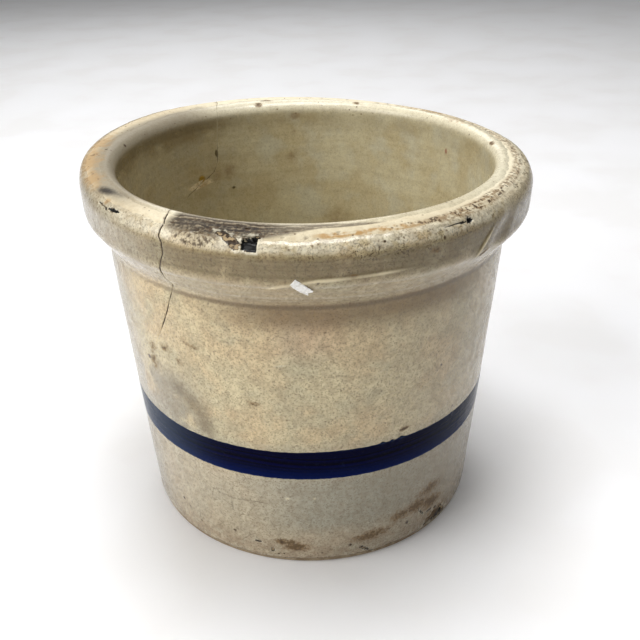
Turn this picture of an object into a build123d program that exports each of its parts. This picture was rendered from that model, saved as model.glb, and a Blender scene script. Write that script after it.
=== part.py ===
from build123d import *
import os

# Open one-gallon stoneware crock, glazed inside and out, with a rolled collar and a cobalt band.
# Millimetres. +Z is up, and the origin is the centre of the foot, on the surface it stands on.
# Every round piece is one section in the XZ plane, revolved about Z.

# Clay wall
base_radius = 87.1           # outside of the wall, carried down to the foot
wall_taper = 0.0692          # how far the wall leans out, per millimetre of height
wall_thickness = 8.0
floor_thickness = 12.0
foot_rounding = 2.5
floor_rounding = 14.0

# Rolled collar, with a rim top that is almost flat. Radii and heights are those of the corners,
# before they are rounded.
shoulder_radius = 109.8
ridge_radius = 108.9
neck_height = 150.0          # where the collar's underside meets the wall
ridge_height = 163.5         # the lower edge of the collar's face
shoulder_height = 184.5
lip_height = 183.5
neck_rounding = 5.0
ridge_rounding = 5.0
shoulder_rounding = 9.0
lip_rounding = 4.5

# Fired coats
glaze_thickness = 0.6
bare_foot_height = 3.0       # the outer glaze is wiped off below this
bare_land_inner = 99.0       # the rim's top is wiped bare between these radii
bare_land_outer = 104.5

# Cobalt ring, let into the outer glaze
band_low = 55.7
band_high = 72.3
band_depth = 0.3

# Torn scrap of paper on the front of the collar, drawn in X and Z as seen from -Y
paper_thickness = 0.15
paper_corners = [(-6.6, 164.1), (-5.2, 166.7), (1.9, 161.8), (1.2, 160.3), (1.3, 158.6), (-0.4, 156.9)]

# A distance past every surface, for the cutting shapes
clear_of_all = 2 * shoulder_radius


def wall_radius(z):
    """Outside radius of the clay wall at height z."""
    return base_radius + wall_taper * z


def inner_radius(z):
    """Inside radius of the clay wall at height z."""
    return wall_radius(z) - wall_thickness


def middle_radius(z):
    """Radius halfway through the clay wall at height z."""
    return wall_radius(z) - wall_thickness / 2


# Clay section: from the foot's centre, up the outside, over the rim and down the inside. Each
# corner is followed by its rounding, and the two ends lie on the axis.
foot_corner = (base_radius, 0)
neck_corner = (wall_radius(neck_height), neck_height)
ridge_corner = (ridge_radius, ridge_height)
shoulder_corner = (shoulder_radius, shoulder_height)
lip_corner = (inner_radius(lip_height), lip_height)
floor_corner = (inner_radius(floor_thickness), floor_thickness)

with BuildSketch(Plane.XZ) as clay_section:
    with BuildLine():
        side = FilletPolyline(
            (0, 0),
            foot_corner,
            neck_corner,
            ridge_corner,
            shoulder_corner,
            lip_corner,
            floor_corner,
            (0, floor_thickness),
            radius=[
                foot_rounding,
                neck_rounding,
                ridge_rounding,
                shoulder_rounding,
                lip_rounding,
                floor_rounding,
            ],
        )
        Line(side @ 1, side @ 0)
    make_face()

# The clay section grown by a coat's thickness
with BuildSketch(Plane.XZ) as glazed_section:
    add(clay_section.sketch_local)
    offset(amount=glaze_thickness)

with BuildSketch(Plane.XZ) as under_band_section:
    add(clay_section.sketch_local)
    offset(amount=glaze_thickness - band_depth)

with BuildSketch(Plane.XZ) as papered_section:
    add(clay_section.sketch_local)
    offset(amount=glaze_thickness + paper_thickness)

# The band: the outermost part of the glaze, between two heights
with BuildSketch(Plane.XZ) as band_section:
    add(glazed_section.sketch_local)
    add(under_band_section.sketch_local, mode=Mode.SUBTRACT)
    with Locations((middle_radius(band_low), band_low)):
        Rectangle(clear_of_all, band_high - band_low, align=(Align.MIN, Align.MIN), mode=Mode.INTERSECT)

# Outer glaze: right of the wall's middle, from just above the foot to the bare land
with BuildSketch(Plane.XZ) as outer_glaze_section:
    add(glazed_section.sketch_local)
    add(clay_section.sketch_local, mode=Mode.SUBTRACT)
    with BuildLine():
        Polyline(
            (middle_radius(bare_foot_height), bare_foot_height),
            (middle_radius(neck_height), neck_height),
            (bare_land_outer, ridge_height),
            (bare_land_outer, clear_of_all),
            (clear_of_all, clear_of_all),
            (clear_of_all, bare_foot_height),
            close=True,
        )
    make_face(mode=Mode.INTERSECT)
    add(band_section.sketch_local, mode=Mode.SUBTRACT)

# Inner glaze: left of the wall's middle, from the axis over the floor and up to the bare land
with BuildSketch(Plane.XZ) as inner_glaze_section:
    add(glazed_section.sketch_local)
    add(clay_section.sketch_local, mode=Mode.SUBTRACT)
    with BuildLine():
        Polyline(
            (0, floor_thickness / 2),
            (middle_radius(floor_thickness / 2), floor_thickness / 2),
            (middle_radius(neck_height), neck_height),
            (bare_land_inner, ridge_height),
            (bare_land_inner, clear_of_all),
            (0, clear_of_all),
            close=True,
        )
    make_face(mode=Mode.INTERSECT)

# The paper's layer, all round the outside of the collar
with BuildSketch(Plane.XZ) as paper_section:
    add(papered_section.sketch_local)
    add(glazed_section.sketch_local, mode=Mode.SUBTRACT)
    with Locations(neck_corner):
        Rectangle(clear_of_all, clear_of_all, align=(Align.MIN, Align.MIN), mode=Mode.INTERSECT)

with BuildPart() as stoneware_body:
    revolve(clay_section.sketch, axis=Axis.Z)

with BuildPart() as outer_glaze:
    revolve(outer_glaze_section.sketch, axis=Axis.Z)

with BuildPart() as inner_glaze:
    revolve(inner_glaze_section.sketch, axis=Axis.Z)

with BuildPart() as cobalt_band:
    revolve(band_section.sketch, axis=Axis.Z)

# Plane.XZ faces -Y, so the cut runs out through the front of the collar only
with BuildPart() as paper_scrap:
    revolve(paper_section.sketch, axis=Axis.Z)
    with BuildSketch(Plane.XZ):
        with BuildLine():
            Polyline(*paper_corners, close=True)
        make_face()
    extrude(amount=clear_of_all, mode=Mode.INTERSECT)

stoneware_body.part.label = "stoneware_body"
outer_glaze.part.label = "outer_glaze"
inner_glaze.part.label = "inner_glaze"
cobalt_band.part.label = "cobalt_band"
paper_scrap.part.label = "paper_scrap"

os.makedirs("parts", exist_ok=True)
export_step(stoneware_body.part, "parts/stoneware_body.step")
export_step(outer_glaze.part, "parts/outer_glaze.step")
export_step(inner_glaze.part, "parts/inner_glaze.step")
export_step(cobalt_band.part, "parts/cobalt_band.step")
export_step(paper_scrap.part, "parts/paper_scrap.step")
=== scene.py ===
import math

import bpy
import numpy as np
from mathutils import Matrix, Vector, noise


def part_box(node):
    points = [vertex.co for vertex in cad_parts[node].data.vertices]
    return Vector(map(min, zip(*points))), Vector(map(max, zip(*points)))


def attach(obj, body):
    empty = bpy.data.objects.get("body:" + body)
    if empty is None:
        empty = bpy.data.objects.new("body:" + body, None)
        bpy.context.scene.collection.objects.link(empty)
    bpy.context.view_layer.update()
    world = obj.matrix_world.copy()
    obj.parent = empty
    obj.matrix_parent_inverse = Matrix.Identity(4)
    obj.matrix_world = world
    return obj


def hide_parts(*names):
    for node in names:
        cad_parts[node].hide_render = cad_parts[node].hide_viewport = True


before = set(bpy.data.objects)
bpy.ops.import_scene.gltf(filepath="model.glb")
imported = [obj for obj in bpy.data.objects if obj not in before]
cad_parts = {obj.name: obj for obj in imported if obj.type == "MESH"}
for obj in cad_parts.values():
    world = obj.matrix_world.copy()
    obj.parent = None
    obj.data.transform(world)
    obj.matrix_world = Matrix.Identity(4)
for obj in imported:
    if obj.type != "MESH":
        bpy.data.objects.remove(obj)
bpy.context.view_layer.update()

# An old open stoneware crock, glazed inside and out, with a cracked and chipped rim.
# Angles are degrees round +Z from +X, so the front, which faces -Y, is at 270. Lengths are metres.
MM = 0.001
FRONT = 270.0
TURN = 360.0
RANDOM = np.random.default_rng(7)

# ---------------------------------------------------------------- sizes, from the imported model
BODY_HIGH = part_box("stoneware_body")[1]
GLAZE_LOW, GLAZE_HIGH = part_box("outer_glaze")
LINER_LOW, LINER_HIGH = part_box("inner_glaze")
BAND_LOW, BAND_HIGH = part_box("cobalt_band")
SCRAP_LOW, SCRAP_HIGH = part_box("paper_scrap")

RIM_TOP = BODY_HIGH.z
RIM_RADIUS = BODY_HIGH.x                    # of the clay, under the coat
COAT = GLAZE_HIGH.x - BODY_HIGH.x           # thickness of a fired coat
BARE_FOOT = GLAZE_LOW.z                     # the outer coat stops here
FLOOR_TOP = LINER_LOW.z
LAND_INNER = LINER_HIGH.x                   # the liner coat stops here on top of the rim
LAND_OUTER = LAND_INNER + 5.5 * MM
WALL = 8.0 * MM
TAPER = 0.0692
BASE_RADIUS = BAND_HIGH.x - COAT - TAPER * BAND_HIGH.z
NECK_HEIGHT = RIM_TOP - 34.0 * MM
RIDGE_HEIGHT = RIM_TOP - 20.5 * MM


def wall_radius(height):
    """Outside radius of the clay wall."""
    return BASE_RADIUS + TAPER * height


# ---------------------------------------------------------------- the section
# Corners of the clay's section, with their roundings: from the foot's centre, up the outside,
# over the rim and down the inside to the middle of the floor
SECTION = [
    (0.0, 0.0, 0.0),
    (BASE_RADIUS, 0.0, 2.5 * MM),
    (wall_radius(NECK_HEIGHT), NECK_HEIGHT, 5.0 * MM),
    (RIM_RADIUS - 0.5 * MM, RIDGE_HEIGHT, 5.0 * MM),
    (RIM_RADIUS + 0.4 * MM, RIM_TOP + 0.5 * MM, 9.0 * MM),
    (wall_radius(RIM_TOP) - WALL, RIM_TOP - 0.5 * MM, 4.5 * MM),
    (wall_radius(FLOOR_TOP) - WALL, FLOOR_TOP, 14.0 * MM),
    (0.0, FLOOR_TOP, 0.0),
]
OUTLINE_STEP = 0.1 * MM


def rounded_outline():
    """Closely spaced points along the section, with its corners rounded."""
    points = [np.array(SECTION[0][:2])]

    def straight_to(end):
        run = end - points[-1]
        count = max(1, round(float(np.hypot(*run)) / OUTLINE_STEP))
        points.extend([points[-1] + run / count * k for k in range(1, count)] + [end])

    for before, corner, after in zip(SECTION, SECTION[1:], SECTION[2:]):
        at = np.array(corner[:2])
        back = np.array(before[:2]) - at
        onward = np.array(after[:2]) - at
        back /= np.hypot(*back)
        onward /= np.hypot(*onward)
        half = math.acos(float(back @ onward)) / 2
        rounding = corner[2]
        bisector = (back + onward) / np.hypot(*(back + onward))
        centre = at + bisector * rounding / math.sin(half)
        start = at + back * rounding / math.tan(half)
        straight_to(start)
        turn = math.copysign(math.pi - 2 * half, onward[0] * back[1] - onward[1] * back[0])
        count = round(rounding * abs(turn) / OUTLINE_STEP)
        spoke = start - centre
        for k in range(1, count + 1):
            cosine, sine = math.cos(turn * k / count), math.sin(turn * k / count)
            points.append(centre + [spoke[0] * cosine - spoke[1] * sine, spoke[0] * sine + spoke[1] * cosine])
    straight_to(np.array(SECTION[-1][:2]))
    return np.array(points)


OUTLINE = rounded_outline()
RUN = np.concatenate([[0.0], np.cumsum(np.hypot(*np.diff(OUTLINE, axis=0).T))])
ALONG = np.gradient(OUTLINE, RUN, axis=0)
OUTWARD = np.stack([ALONG[:, 1], -ALONG[:, 0]], axis=1)
OUTWARD /= np.hypot(*OUTWARD.T)[:, None]
WIDEST = int(OUTLINE[:, 0].argmax())
HIGHEST = int(OUTLINE[:, 1].argmax())
LIP = HIGHEST + int((OUTLINE[HIGHEST:, 0] > wall_radius(RIM_TOP) - WALL - 0.2 * MM).sum())


# Distances along the section, from the middle of the underside. Their arguments are millimetres.
def outside(height):
    """To a height on the outside."""
    return float(np.interp(height * MM, OUTLINE[:HIGHEST, 1], RUN[:HIGHEST]))


def on_top(radius):
    """To a radius on the shoulder or the rim's top."""
    return float(np.interp(-radius * MM, -OUTLINE[WIDEST:LIP, 0], RUN[WIDEST:LIP]))


def inside(height):
    """To a height on the inside wall."""
    return float(np.interp(-height * MM, -OUTLINE[LIP:, 1], RUN[LIP:]))


def on_floor(radius):
    """To a radius on the inside floor."""
    return float(RUN[-1] - radius * MM)


def underneath(radius):
    """To a radius on the underside."""
    return radius * MM


OUTER_EDGE = on_top(LAND_OUTER / MM)
INNER_EDGE = on_top(LAND_INNER / MM)
GLAZE_START = outside(BARE_FOOT / MM)
BAND_START, BAND_END = outside(BAND_LOW.z / MM), outside(BAND_HIGH.z / MM)


def steps(start, end, step):
    """Evenly spaced distances from start up to, and not including, end. The step is millimetres."""
    count = max(1, round((end - start) / (step * MM)))
    return [start + (end - start) * k / count for k in range(count)]


def smooth(low, high, x):
    """0 at low, 1 at high, and a smooth change between them."""
    t = np.clip((x - low) / (high - low), 0.0, 1.0)
    return t * t * (3 - 2 * t)


def table(pairs, x):
    """Reads x off a list of (x, y) pairs, in straight lines between them."""
    return np.interp(x, [pair[0] for pair in pairs], [pair[1] for pair in pairs])


def turned(angle, centre):
    """The difference between two angles, from -180 to 180."""
    return (angle - centre + TURN / 2) % TURN - TURN / 2


# ---------------------------------------------------------------- cracks
def placed(where, *entries):
    """Entries that start with a height or a radius, which becomes a distance along the section."""
    return [(where(first), *rest) for first, *rest in entries]


# A crack: the angle it starts from on a plain grid, its path as (distance along the section, angle),
# and how open it is along the way as (distance along the section, share)
FRONT_CRACK = {
    "angle": 235.0,
    "path": (
        placed(outside, (60, 235.0), (108, 222.5), (116, 223.8), (122, 225.8), (126.5, 227.5), (131, 229.1),
                        (137, 231.0), (145, 232.9), (153, 235.3), (156, 234.2), (159, 234.8), (163, 235.8),
                        (167, 236.4), (172, 237.6))
        + placed(on_top, (109.2, 237.5), (108.5, 236.5), (105, 236.6), (99.6, 235.2), (96, 234.3))
        + placed(inside, (170, 234.0), (140, 235.0))
    ),
    "open": (
        placed(outside, (112, 0.0), (118, 0.25), (127, 0.38), (130.5, 1.0), (133, 0.4), (135, 0.45),
                        (137, 0.9), (140, 0.42), (152, 0.5), (155, 0.2), (158, 0.5), (163, 1.0),
                        (166, 0.55), (176, 0.6))
        + placed(on_top, (108, 0.9), (104, 0.75), (96, 0.9))
        + placed(inside, (175, 0.8), (140, 0.0))
    ),
}
BACK_CRACK = {
    "angle": 124.0,
    "path": (
        placed(outside, (100, 124.0), (128, 121.5), (150, 122.5), (163, 119.5))
        + placed(on_top, (106, 117.8), (101, 118.5), (96, 120.6), (92, 122.2))
        + placed(inside, (171, 123.1), (162, 123.9), (155.7, 124.2), (150, 126.5), (145, 132.7),
                         (140, 141.5), (90, 124.0))
    ),
    "open": (
        placed(outside, (118, 0.0), (140, 0.7))
        + placed(on_top, (104, 0.45))
        + placed(inside, (176, 0.35), (164, 0.4), (160, 0.8), (154, 0.35), (148, 0.7), (142, 0.5),
                         (138, 0.0))
    ),
}
CRACKS = [FRONT_CRACK, BACK_CRACK]
CRACK_WIDTH = 0.32 * MM
CRACK_DEPTH = 0.8 * MM
BENT_SPAN = 36.0            # degrees of grid, each side, that bend to follow a crack


def bend_to_cracks(angle, run):
    """Moves the grid's angles sideways, so that a line of the mesh lies along each crack."""
    bent = angle.copy()
    for crack in CRACKS:
        lean = table(crack["path"], run) - crack["angle"]
        bent += lean * smooth(BENT_SPAN, 0.0, abs(turned(angle, crack["angle"])))
    return bent


def crack_share(angle, run, radius):
    """How much of a crack is at each point: 1 on its line, where it is open, down to 0 beside it."""
    share = np.zeros_like(angle)
    for crack in CRACKS:
        aside = np.radians(turned(angle, table(crack["path"], run))) * radius
        lean = table(crack["path"], run + 0.5 * MM) - table(crack["path"], run - 0.5 * MM)
        aside /= np.hypot(1.0, np.radians(lean) * radius / MM)
        share = np.maximum(share, table(crack["open"], run) * np.exp(-((aside / CRACK_WIDTH) ** 2)))
    return share


# ---------------------------------------------------------------- chips, pits and bumps
def mark(run, angle, width, height, depth=0.0, tilt=0.0, square=2.0, soft=0.25, wobble=0.12):
    """A mark cut into the surface. Sizes are millimetres: width goes round the crock and height along
    its section, before a tilt in degrees. Square 2 is an oval, and more is closer to a rectangle."""
    return dict(run=run, angle=angle, width=width * MM, height=height * MM, depth=depth * MM, tilt=tilt,
                square=square, soft=soft, wobble=wobble)


def mark_share(spot, angle, run, radius):
    """1 inside a mark, 0 outside it, with an uneven edge."""
    aside = np.radians(turned(angle, spot["angle"])) * radius
    up = run - spot["run"]
    cosine, sine = math.cos(math.radians(spot["tilt"])), math.sin(math.radians(spot["tilt"]))
    a = (aside * cosine + up * sine) / (spot["width"] / 2)
    b = (up * cosine - aside * sine) / (spot["height"] / 2)
    power = spot["square"]
    away = (abs(a) ** power + abs(b) ** power) ** (1 / power)
    spin = np.arctan2(b, a) + spot["angle"]
    away = away + spot["wobble"] * (np.sin(3 * spin) + 0.7 * np.sin(7 * spin + 1.0))
    return smooth(1 + spot["soft"], 1 - spot["soft"], away)


def scatter(count, run, angle, width, height, smallest, largest, depth):
    """Small round pits strewn over an oval area. Sizes are millimetres."""
    pits = []
    while len(pits) < count:
        a, b = RANDOM.uniform(-1, 1, 2)
        size = RANDOM.uniform(smallest, largest)
        if math.hypot(a, b) < 1:
            around = math.degrees(a * width * MM / 2 / RIM_RADIUS)
            along = b * height * MM / 2
            tall = size * RANDOM.uniform(0.6, 1.2)
            pits.append(mark(run + along, angle + around, size, tall, depth * size / largest, soft=0.5))
    return pits


CHIPS = [
    # the square hole, and the flake beside it
    mark(on_top(107.0), 258.1, 6.0, 5.4, 2.4, square=7, soft=0.1, wobble=0.04),
    mark(on_top(106.4), 253.9, 10.0, 3.6, 0.9, tilt=-33, square=2.6, soft=0.16),
    mark(on_top(104.6), 251.2, 3.6, 1.4, 0.8, tilt=-20, soft=0.2),
    # the left of the rim
    mark(on_top(107.1), 219.5, 8.6, 1.5, 1.7, tilt=7, soft=0.2),
    mark(on_top(107.7), 216.0, 3.0, 1.4, 0.5, tilt=-20, soft=0.4),
    mark(on_top(107.5), 213.4, 8.0, 0.8, 0.4, tilt=0, soft=0.4),
    # the right of the rim
    mark(on_top(107.5), 307.5, 3.0, 2.2, 1.6, soft=0.2),
    mark(on_top(107.4), 304.0, 14.0, 1.0, 0.35, tilt=-3, soft=0.4),
    # the foot of the fold, and the edge of the foot
    mark(outside(163.1), 312.5, 5.6, 1.4, 0.5, tilt=20, soft=0.4),
    mark(outside(6.6), 316.4, 14.0, 5.4, 1.6, square=2.6, soft=0.3, wobble=0.2),
    # about the base
    mark(outside(8.1), 256.9, 2.2, 2.0, 0.5),
    mark(outside(12.0), 252.4, 6.4, 1.0, 0.4, tilt=-8, soft=0.4),
    mark(outside(6.3), 286.6, 9.5, 1.4, 0.5, tilt=-38, soft=0.4),
    mark(outside(16.0), 308.2, 8.5, 1.1, 0.4, tilt=-50, soft=0.4),
    mark(outside(13.0), 313.6, 11.0, 1.1, 0.4, tilt=-12, soft=0.4),
]
PITS = scatter(36, on_top(107.2), 245.5, 19, 6.5, 0.9, 2.2, 0.35)
PITS += scatter(40, on_top(108.6), 292.0, 60, 8, 0.8, 1.3, 0.25)
PITS += scatter(40, on_top(105.6), 342.0, 78, 4, 0.9, 1.9, 0.4)
LAND_PITS = scatter(44, on_top(102), 50.0, 290, 6, 1.2, 2.4, 0.35)
LAND_PITS += scatter(30, on_top(102), 262.0, 110, 6, 0.9, 2.0, 0.35)
LAND_PITS += scatter(7, on_top(103), 190.0, 70, 6, 1.0, 2.0, 0.35)

# A crease where the glaze ran over a fold, with a hollow to its right
FOLD = mark(outside(168.3), 312.3, 15.0, 1.7, -0.7, tilt=48, soft=0.6, wobble=0)
FOLD_HOLLOW = mark(outside(168.0), 318.6, 21.0, 8.0, 0.9, tilt=44, soft=0.8, wobble=0)
RAISED = [FOLD, FOLD_HOLLOW]

# A thin raised line of glaze along the front of the collar: (angle, height) and how strong it is
FLOW_LINE = [(258, 162.2), (262, 162.7), (264.5, 164.0), (268.5, 165.4), (272, 166.6), (276, 166.8),
             (281, 167.2), (286, 167.5), (296, 167.6)]
FLOW_STRENGTH = [(259, 0.0), (263, 0.8), (268, 0.6), (274, 1.0), (279, 0.6), (286, 0.8), (298, 0.0)]
FLOW_WIDTH = 1.05 * MM
FLOW_RISE = 0.42 * MM


def flow_share(angle, height):
    """1 along the raised line of glaze on the collar, down to 0 beside it."""
    away = (height - table(FLOW_LINE, angle) * MM) / FLOW_WIDTH
    return np.exp(-(away**2)) * table(FLOW_STRENGTH, angle)


# Lines of dirt round the rim: (angle, radius, half width, strength), with the sizes in millimetres
GRIME = [
    (236.0, 100.5, 6.0, 0.0),
    (238.5, 100.5, 7.0, 0.9),
    (250.0, 100.5, 6.5, 1.0),
    (259.0, 100.5, 6.0, 1.0),
    (266.0, 99.5, 4.0, 0.7),
    (273.0, 97.4, 1.6, 0.6),
    (285.0, 98.2, 0.9, 0.6),
    (289.0, 98.4, 0.8, 0.0),
]
RUST = [
    (270.5, 103.8, 1.0, 0.0),
    (273.5, 103.9, 1.6, 1.0),
    (287.0, 103.4, 1.8, 1.0),
    (295.0, 103.8, 1.4, 0.85),
    (302.0, 104.0, 2.2, 0.9),
    (310.0, 103.9, 3.2, 1.0),
    (319.0, 102.9, 3.2, 1.0),
    (328.0, 102.0, 2.6, 0.8),
    (350.0, 101.8, 2.6, 0.75),
    (370.0, 100.8, 3.2, 0.7),
    (405.0, 99.5, 4.0, 0.4),
    (430.0, 98.0, 4.0, 0.0),
]


def ribbon_share(path, angle, run):
    """1 along the middle of a line of dirt, down to 0 at its sides and ends."""
    seen = FRONT + turned(angle, FRONT)
    angles, radii, halves, strengths = zip(*path)
    middle = np.interp(seen, angles, [on_top(radius) for radius in radii])
    half = np.interp(seen, angles, halves) * MM
    return smooth(1.2, 0.5, abs(run - middle) / half) * np.interp(seen, angles, strengths)


def rim_dirt(angle, run):
    """The lines of dirt, as values stored on a piece's points."""
    return {"grime": ribbon_share(GRIME, angle, run), "rust": ribbon_share(RUST, angle, run)}


# How much wider the pale halo is than its chip; the halo is partly a painted highlight
HALO_WIDER = 1.3


def damage(angle, run, radius, wider=1.0):
    """Where the chips are, as values stored on a piece's points."""
    chips = depth_of(CHIPS, angle, run, radius, wider)
    around = depth_of(CHIPS, angle, run, radius, wider * HALO_WIDER)
    return {
        "chip": smooth(0.1 * MM, 0.5 * MM, chips),
        "halo": smooth(0.1 * MM, 0.5 * MM, around),
        "deep": smooth(0.9 * MM, 1.4 * MM, chips),
    }


def depth_of(spots, angle, run, radius, wider=1.0):
    """How deep a list of marks cuts in at each point."""
    depth = np.zeros_like(angle)
    for spot in spots:
        grown = dict(spot, width=spot["width"] * wider, height=spot["height"] * wider)
        cut = mark_share(grown, angle, run, radius) * spot["depth"]
        depth = np.where(abs(cut) > abs(depth), cut, depth)
    return depth


# ---------------------------------------------------------------- how hand work bends the round shape
def harmonics(angle, pairs):
    """A slow wave round the crock, from a (cosine, sine) pair for each number of lobes."""
    turn = np.radians(angle)
    return sum(c * np.cos(k * turn) + s * np.sin(k * turn) for k, (c, s) in enumerate(pairs, start=1))


COLLAR_SPREAD = [(-1.1 * MM, 2.2 * MM), (-0.9 * MM, -2.4 * MM), (0.7 * MM, 0.8 * MM)]
RIM_TILT = [(-1.3 * MM, 1.7 * MM), (0.2 * MM, -1.1 * MM)]
LUMP_SIZE = 28 * MM
LUMP_HEIGHT = 0.22 * MM
FLAT_FOOT = 10 * MM           # the lumps fade out below this height, so that the crock stands flat


def bend_round(angle, radius, height):
    """Moves points outward and up or down, so that the collar isn't a perfect ring."""
    still = LAND_INNER - 11 * MM
    out = np.clip((radius - still) / (RIM_RADIUS - still), 0, 1)
    out = out * smooth(NECK_HEIGHT - 12 * MM, NECK_HEIGHT + 8 * MM, height)
    up = smooth(NECK_HEIGHT, RIM_TOP, height) * out
    return radius + harmonics(angle, COLLAR_SPREAD) * out, height + harmonics(angle, RIM_TILT) * up


def lumps(points):
    """Gentle unevenness of the wall."""
    flat = points.reshape(-1, 3) / LUMP_SIZE
    return np.array([noise.noise(Vector(p)) for p in flat]).reshape(points.shape[:2]) * LUMP_HEIGHT


# ---------------------------------------------------------------- the mesh grid
def grid_angles():
    """Angles of the mesh's columns: close together at the chipped front, wider at the back."""
    # each zone's first and last angle, and the millimetres from one column to the next
    zones = [(0, 200, 1.25), (200, 228, 0.72), (228, 262, 0.42), (262, 300, 0.82), (300, 324, 0.64),
             (324, 360, 1.25)]
    angles = []
    for start, end, spacing in zones:
        width = math.degrees(spacing * MM / RIM_RADIUS)
        angles += list(np.arange(start, end - width / 2, width))
    # the columns along a crack, in millimetres from its line
    beside = np.degrees(np.array([-1.1, -0.7, -0.4, -0.2, 0.0, 0.2, 0.4, 0.7, 1.1]) * MM / RIM_RADIUS)
    for crack in CRACKS:
        angles = [a for a in angles if abs(a - crack["angle"]) > beside[-1] * 1.2]
        angles += list(crack["angle"] + beside)
    return np.array(sorted(angles))


ANGLES = grid_angles()


def rows(*runs):
    """A column of distances along the section, spread over every angle."""
    joined = np.concatenate([np.atleast_1d(r) for r in runs])
    return np.broadcast_to(joined[:, None], (len(joined), len(ANGLES))).copy()


def section_at(run, lift):
    """Radius and height of the section at each distance along it, lifted off the clay."""
    radius = np.interp(run, RUN, OUTLINE[:, 0]) + np.interp(run, RUN, OUTWARD[:, 0]) * lift
    height = np.interp(run, RUN, OUTLINE[:, 1]) + np.interp(run, RUN, OUTWARD[:, 1]) * lift
    return radius, height


def grid_places(run, lift):
    """Angle, radius and height of every point of a grid, while the crock is still perfectly round."""
    angle = bend_to_cracks(np.broadcast_to(ANGLES, run.shape), run)
    radius, height = section_at(run, lift)
    return angle, radius, height


def to_points(angle, radius, height):
    turn = np.radians(angle)
    return np.stack([radius * np.cos(turn), radius * np.sin(turn), height], axis=-1)


def place(run, lift):
    """Points of a grid of rows (distances along the section) by columns (ANGLES)."""
    angle, radius, height = grid_places(run, lift)
    push = lumps(to_points(angle, radius, height)) * smooth(0.0, FLAT_FOOT, height)
    radius = radius + np.interp(run, RUN, OUTWARD[:, 0]) * push
    height = height + np.interp(run, RUN, OUTWARD[:, 1]) * push
    return to_points(angle, *bend_round(angle, radius, height))


def new_object(name, vertices, faces, values=None):
    """A mesh object with smooth faces, and with any values stored on its points."""
    mesh = bpy.data.meshes.new(name)
    mesh.from_pydata([tuple(v) for v in vertices], [], faces)
    mesh.shade_smooth()
    for label, numbers in (values or {}).items():
        layer = mesh.attributes.new(label, "FLOAT", "POINT")
        layer.data.foreach_set("value", np.asarray(numbers, np.float32).ravel())
    piece = bpy.data.objects.new(name, mesh)
    bpy.context.scene.collection.objects.link(piece)
    return piece


def ring_piece(name, run, lift, values, poles=()):
    """A piece whose rows are rings round the crock, joined in a loop. Rows named as poles are single
    points on the axis, and two poles in a row aren't joined."""
    points = place(run, lift)
    count = run.shape[0]
    vertices, starts, kept = [], [], {label: [] for label in values}
    for row in range(count):
        starts.append(len(vertices))
        vertices.extend([points[row].mean(axis=0)] if row in poles else points[row])
        for label, numbers in values.items():
            kept[label].extend([0.0] if row in poles else numbers[row])
    faces = []
    columns = run.shape[1]
    for row in range(count):
        above = (row + 1) % count
        low, high = starts[row], starts[above]
        if row in poles and above in poles:
            continue
        for k in range(columns):
            n = (k + 1) % columns
            if row in poles:
                faces.append((low, high + n, high + k))
            elif above in poles:
                faces.append((low + k, low + n, high))
            else:
                faces.append((low + k, low + n, high + n, high + k))
    return new_object(name, vertices, faces, kept)


SUNK_EDGE = -0.2            # a coat's edge on the rim is sunk this share of its thickness into the clay
EDGE_INSET = 0.6 * MM       # a coat's hidden back starts this far in from its edge
BACK_DEPTH = 0.3 * MM       # how far the back of a thin coat lies inside the clay


def edge_wander(lobes, reach, phase):
    """A ragged edge: how far a coat's edge strays at each angle."""
    turn = np.radians(ANGLES)
    finer = math.floor(2.3 * lobes)
    waves = 0.4 * np.sin(5 * turn + phase) + 0.25 * np.sin(13 * turn + 2 * phase)
    waves = waves + 0.2 * np.sin(lobes * turn + 3 * phase) + 0.15 * np.sin(finer * turn + phase)
    return waves * reach * MM


def with_back(values, hidden):
    """Values for a coat's seen rows, with none on its hidden back."""
    return {label: np.vstack([numbers, np.zeros_like(hidden)]) for label, numbers in values.items()}


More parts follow.
